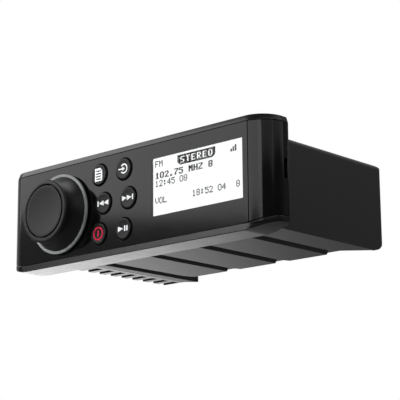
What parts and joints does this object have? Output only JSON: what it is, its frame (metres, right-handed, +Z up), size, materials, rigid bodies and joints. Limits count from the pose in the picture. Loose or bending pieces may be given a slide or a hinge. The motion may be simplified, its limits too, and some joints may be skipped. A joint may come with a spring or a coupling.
{
  "type": "marine stereo",
  "caption": "Panel-mounted marine stereo: a round-ended facia with a turn-and-push dial, press keys and a display, on a ribbed metal chassis with a finned heat sink.",
  "frame": {"origin": "middle of the four panel screws, on the plane where the facia lies against the dashboard", "axes": "+X to the right of someone facing the stereo, +Y to the back through the dashboard, +Z up"},
  "size_m": [0.187, 0.135, 0.0564],
  "materials": {
    "housing_plastic": "satin, fine moulded grain",
    "panel_plastic": "satin gloss charcoal",
    "cover_plastic": "satin gloss charcoal",
    "window": "clear, polished",
    "lcd": "white backlit display with dark characters",
    "light_guide": "milky white",
    "dial_plastic": "satin black",
    "dial_trim": "satin silver grey",
    "dial_face": "satin dark grey",
    "key_plastic": "satin charcoal with a printed sign",
    "power_key_plastic": "satin charcoal with a red sign",
    "steel": "zinc plated",
    "encoder_plastic": "moulded",
    "board": "solder mask",
    "switch_plastic": "moulded",
    "connector_plastic": "moulded",
    "gasket_rubber": "soft closed foam",
    "chassis_paint": "fine textured charcoal paint",
    "sink_paint": "charcoal anodised",
    "chip_plastic": "moulded",
    "capacitor_sleeve": "shrunk sleeve",
    "coil_wire": "enamelled wire",
    "screening_can": "tinned",
    "clamp_metal": "as rolled",
    "socket_plastic": "moulded",
    "line_socket_metal": "nickel plated",
    "antenna_metal": "nickel plated",
    "network_metal": "nickel plated"
  },
  "bodies": {
    "unit": {"facia_housing": "housing_plastic", "front_panel": "panel_plastic", "left_screw_cover": "cover_plastic", "right_screw_cover": "cover_plastic", "display_window": "window", "lcd_panel": "lcd", "lcd_light_guide": "light_guide", "encoder_body": "encoder_plastic", "encoder_nut": "steel", "front_board": "board", "key_switches": "switch_plastic", "front_board_screws": "steel", "link_header": "connector_plastic", "link_socket": "connector_plastic", "panel_gasket": "gasket_rubber", "chassis_base": "chassis_paint", "heat_sink": "sink_paint", "top_cover": "chassis_paint", "rear_panel": "chassis_paint", "main_board": "board", "main_board_screws": "steel", "amplifier_chip": "chip_plastic", "chip_clamp": "clamp_metal", "clamp_screws": "steel", "filter_capacitors": "capacitor_sleeve", "choke_coil": "coil_wire", "tuner_module": "screening_can", "processor_chip": "chip_plastic", "harness_socket": "socket_plastic", "line_sockets": "line_socket_metal", "antenna_socket": "antenna_metal", "network_socket": "network_metal", "chassis_screws": "steel", "sink_screws": "steel", "cover_screws": "steel", "rear_panel_screws": "steel"},
    "rotor": {"encoder_rotor": "encoder_plastic"},
    "dial": {"encoder_shaft": "steel", "dial_knob": "dial_plastic", "dial_ring": "dial_trim", "dial_cap": "dial_face"},
    "menu_button": {"menu_key": "key_plastic"},
    "source_button": {"source_key": "key_plastic"},
    "previous_button": {"previous_key": "key_plastic"},
    "next_button": {"next_key": "key_plastic"},
    "power_button": {"power_key": "power_key_plastic"},
    "play_button": {"play_key": "key_plastic"}
  },
  "joints": [
    {"name": "dial_turn", "type": "hinge", "parent": "unit", "child": "rotor", "pos_m": [-0.0485, -0.0174, -0.0011], "axis": [0, 1, 0], "continuous": true},
    {"name": "dial_push", "type": "slide", "parent": "rotor", "child": "dial", "axis": [0, 1, 0], "range_m": [0, 0.0008], "stiffness_N_per_m": 4000},
    {"name": "menu_press", "type": "slide", "parent": "unit", "child": "menu_button", "axis": [0, 1, 0], "range_m": [0, 0.0008], "stiffness_N_per_m": 2000},
    {"name": "source_press", "type": "slide", "parent": "unit", "child": "source_button", "axis": [0, 1, 0], "range_m": [0, 0.0008], "stiffness_N_per_m": 2000},
    {"name": "previous_press", "type": "slide", "parent": "unit", "child": "previous_button", "axis": [0, 1, 0], "range_m": [0, 0.0008], "stiffness_N_per_m": 2000},
    {"name": "next_press", "type": "slide", "parent": "unit", "child": "next_button", "axis": [0, 1, 0], "range_m": [0, 0.0008], "stiffness_N_per_m": 2000},
    {"name": "power_press", "type": "slide", "parent": "unit", "child": "power_button", "axis": [0, 1, 0], "range_m": [0, 0.0008], "stiffness_N_per_m": 2000},
    {"name": "play_press", "type": "slide", "parent": "unit", "child": "play_button", "axis": [0, 1, 0], "range_m": [0, 0.0008], "stiffness_N_per_m": 2000}
  ]
}
